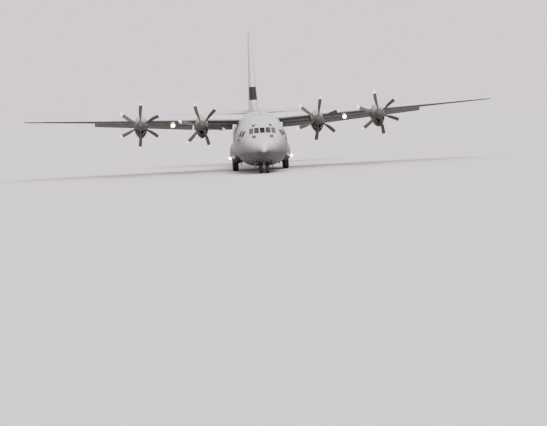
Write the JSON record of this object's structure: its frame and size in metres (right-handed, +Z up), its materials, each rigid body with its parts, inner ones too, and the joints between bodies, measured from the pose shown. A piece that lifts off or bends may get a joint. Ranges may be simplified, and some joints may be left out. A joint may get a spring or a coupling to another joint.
{
  "type": "military transport plane, half-size model",
  "caption": "High-winged military transport plane on twin and tandem wheels, with turboprops, lowered flaps, a crew door and a rear ramp under its upswept tail.",
  "frame": {"origin": "centre of the footprint's bounding box, on the ground", "axes": "+X to the plane's left wing tip, +Y to its tail, +Z up"},
  "size_m": [20.205, 14.895, 6.125],
  "materials": {
    "skin_grey": "satin grey paint over sheet metal, lightly weathered",
    "radome_grey": "satin paint over a moulded composite",
    "dark_panel": "matt dark moulding",
    "blade_black": "satin black composite with pale tips",
    "glass": "clear laminated panes",
    "tyre": "worn black rubber",
    "wheel_white": "gloss white paint",
    "gear_white": "gloss white paint over steel",
    "inner_grey": "matt grey primer",
    "engine_metal": "bare cast metal"
  },
  "bodies": {
    "airframe": {"radome": "radome_grey", "nose_shell": "skin_grey", "windscreen": "glass", "flight_deck": "inner_grey", "centre_fuselage": "skin_grey", "cargo_floor": "inner_grey", "tail_fuselage": "skin_grey", "tailplane": "skin_grey", "fin": "skin_grey", "fin_aerial_panel": "dark_panel", "wing_centre": "skin_grey", "nose_leg": "gear_white", "jump_door_left": "skin_grey", "jump_door_right": "skin_grey", "sponson_left": "skin_grey", "sponson_right": "skin_grey", "wing_outer_left": "skin_grey", "wing_outer_right": "skin_grey", "nose_gear_door_left": "skin_grey", "nose_gear_door_right": "skin_grey", "main_gear_frame_left": "gear_white", "main_gear_frame_right": "gear_white", "main_gear_door_left": "skin_grey", "main_gear_door_right": "skin_grey", "nacelle_1": "skin_grey", "nacelle_2": "skin_grey", "nacelle_3": "skin_grey", "nacelle_4": "skin_grey", "engine_1": "engine_metal", "engine_2": "engine_metal", "engine_3": "engine_metal", "engine_4": "engine_metal"},
    "propeller_1": {"propeller_1": "blade_black"},
    "propeller_2": {"propeller_2": "blade_black"},
    "propeller_3": {"propeller_3": "blade_black"},
    "propeller_4": {"propeller_4": "blade_black"},
    "nose_fork": {"nose_fork": "gear_white"},
    "nose_wheels": {"nose_hubs": "wheel_white", "nose_tyre_left": "tyre", "nose_tyre_right": "tyre"},
    "main_wheel_front_left": {"main_hub_front_left": "wheel_white", "main_tyre_front_left": "tyre"},
    "main_wheel_rear_left": {"main_hub_rear_left": "wheel_white", "main_tyre_rear_left": "tyre"},
    "main_wheel_front_right": {"main_hub_front_right": "wheel_white", "main_tyre_front_right": "tyre"},
    "main_wheel_rear_right": {"main_hub_rear_right": "wheel_white", "main_tyre_rear_right": "tyre"},
    "aileron_left": {"aileron_left": "skin_grey"},
    "aileron_right": {"aileron_right": "skin_grey"},
    "flap_inner_left": {"flap_inner_left": "skin_grey"},
    "flap_inner_right": {"flap_inner_right": "skin_grey"},
    "flap_outer_left": {"flap_outer_left": "skin_grey"},
    "flap_outer_right": {"flap_outer_right": "skin_grey"},
    "elevator_left": {"elevator_left": "skin_grey"},
    "elevator_right": {"elevator_right": "skin_grey"},
    "rudder": {"rudder": "skin_grey"},
    "crew_door": {"crew_door": "skin_grey"},
    "cargo_ramp": {"cargo_ramp": "skin_grey"},
    "cargo_door": {"cargo_door": "skin_grey"}
  },
  "joints": [
    {"name": "propeller_1_spin", "type": "hinge", "parent": "airframe", "child": "propeller_1", "pos_m": [5.08, -3.9225, 2.19374], "axis": [0, 1, 0], "continuous": true},
    {"name": "propeller_2_spin", "type": "hinge", "parent": "airframe", "child": "propeller_2", "pos_m": [2.475, -3.9225, 2.08], "axis": [0, 1, 0], "continuous": true},
    {"name": "propeller_3_spin", "type": "hinge", "parent": "airframe", "child": "propeller_3", "pos_m": [-2.475, -3.9225, 2.08], "axis": [0, 1, 0], "continuous": true},
    {"name": "propeller_4_spin", "type": "hinge", "parent": "airframe", "child": "propeller_4", "pos_m": [-5.08, -3.9225, 2.19374], "axis": [0, 1, 0], "continuous": true},
    {"name": "nose_steer", "type": "hinge", "parent": "airframe", "child": "nose_fork", "pos_m": [0, -6.2975, 0.45], "axis": [0, 0, 1], "range_deg": [-60, 60]},
    {"name": "nose_wheels_spin", "type": "hinge", "parent": "nose_fork", "child": "nose_wheels", "pos_m": [0, -6.2975, 0.2475], "axis": [1, 0, 0], "continuous": true},
    {"name": "main_wheel_front_left_spin", "type": "hinge", "parent": "airframe", "child": "main_wheel_front_left", "pos_m": [1.0875, -1.7975, 0.355], "axis": [1, 0, 0], "continuous": true},
    {"name": "main_wheel_rear_left_spin", "type": "hinge", "parent": "airframe", "child": "main_wheel_rear_left", "pos_m": [1.0875, -1.0275, 0.355], "axis": [1, 0, 0], "continuous": true},
    {"name": "main_wheel_front_right_spin", "type": "hinge", "parent": "airframe", "child": "main_wheel_front_right", "pos_m": [-1.0875, -1.7975, 0.355], "axis": [1, 0, 0], "continuous": true},
    {"name": "main_wheel_rear_right_spin", "type": "hinge", "parent": "airframe", "child": "main_wheel_rear_right", "pos_m": [-1.0875, -1.0275, 0.355], "axis": [1, 0, 0], "continuous": true},
    {"name": "aileron_left_hinge", "type": "hinge", "parent": "airframe", "child": "aileron_left", "pos_m": [7.1495, -0.97451, 2.46314], "axis": [0.9949, -0.0886, 0.0474], "range_deg": [-25, 25]},
    {"name": "aileron_right_hinge", "type": "hinge", "parent": "airframe", "child": "aileron_right", "pos_m": [-7.1495, -0.97451, 2.46314], "axis": [0.9949, 0.0886, -0.0474], "range_deg": [-25, 25]},
    {"name": "flap_inner_left_hinge", "type": "hinge", "parent": "airframe", "child": "flap_inner_left", "pos_m": [1.13, -0.73307, 1.57606], "axis": [0.999, 0, 0.0436], "range_deg": [-12, 24]},
    {"name": "flap_inner_right_hinge", "type": "hinge", "parent": "airframe", "child": "flap_inner_right", "pos_m": [-1.13, -0.73307, 1.57606], "axis": [0.999, 0, -0.0436], "range_deg": [-12, 24]},
    {"name": "flap_outer_left_hinge", "type": "hinge", "parent": "airframe", "child": "flap_outer_left", "pos_m": [2.805, -0.73381, 1.64968], "axis": [0.9931, -0.0756, 0.0901], "range_deg": [-12, 24]},
    {"name": "flap_outer_right_hinge", "type": "hinge", "parent": "airframe", "child": "flap_outer_right", "pos_m": [-2.805, -0.73381, 1.64968], "axis": [0.9931, 0.0756, -0.0901], "range_deg": [-12, 24]},
    {"name": "elevator_left_hinge", "type": "hinge", "parent": "airframe", "child": "elevator_left", "pos_m": [0.31, 6.18882, 2.375], "axis": [0.9992, -0.0393, 0], "range_deg": [-15, 40]},
    {"name": "elevator_right_hinge", "type": "hinge", "parent": "airframe", "child": "elevator_right", "pos_m": [-0.31, 6.18882, 2.375], "axis": [0.9992, 0.0393, 0], "range_deg": [-15, 40]},
    {"name": "rudder_hinge", "type": "hinge", "parent": "airframe", "child": "rudder", "pos_m": [0, 6.55038, 2.555], "axis": [0, -0.0846, 0.9964], "range_deg": [-35, 35]},
    {"name": "crew_door_hinge", "type": "hinge", "parent": "airframe", "child": "crew_door", "pos_m": [0.893, -5.1725, 0.523], "axis": [0, 1, 0], "range_deg": [0, 108]},
    {"name": "cargo_ramp_hinge", "type": "hinge", "parent": "airframe", "child": "cargo_ramp", "pos_m": [0, 0.7535, 0.4], "axis": [1, 0, 0], "range_deg": [-27, 0]},
    {"name": "cargo_door_hinge", "type": "hinge", "parent": "airframe", "child": "cargo_door", "pos_m": [0, 4.026, 1.506], "axis": [1, 0, 0], "range_deg": [-30, 0]}
  ],
  "couplings": [
    {"joint": "aileron_right_hinge", "follows": "aileron_left_hinge", "ratio": -1},
    {"joint": "flap_outer_right_hinge", "follows": "flap_outer_left_hinge", "ratio": 1},
    {"joint": "flap_inner_left_hinge", "follows": "flap_outer_left_hinge", "ratio": 1},
    {"joint": "flap_inner_right_hinge", "follows": "flap_outer_left_hinge", "ratio": 1},
    {"joint": "elevator_right_hinge", "follows": "elevator_left_hinge", "ratio": 1}
  ]
}
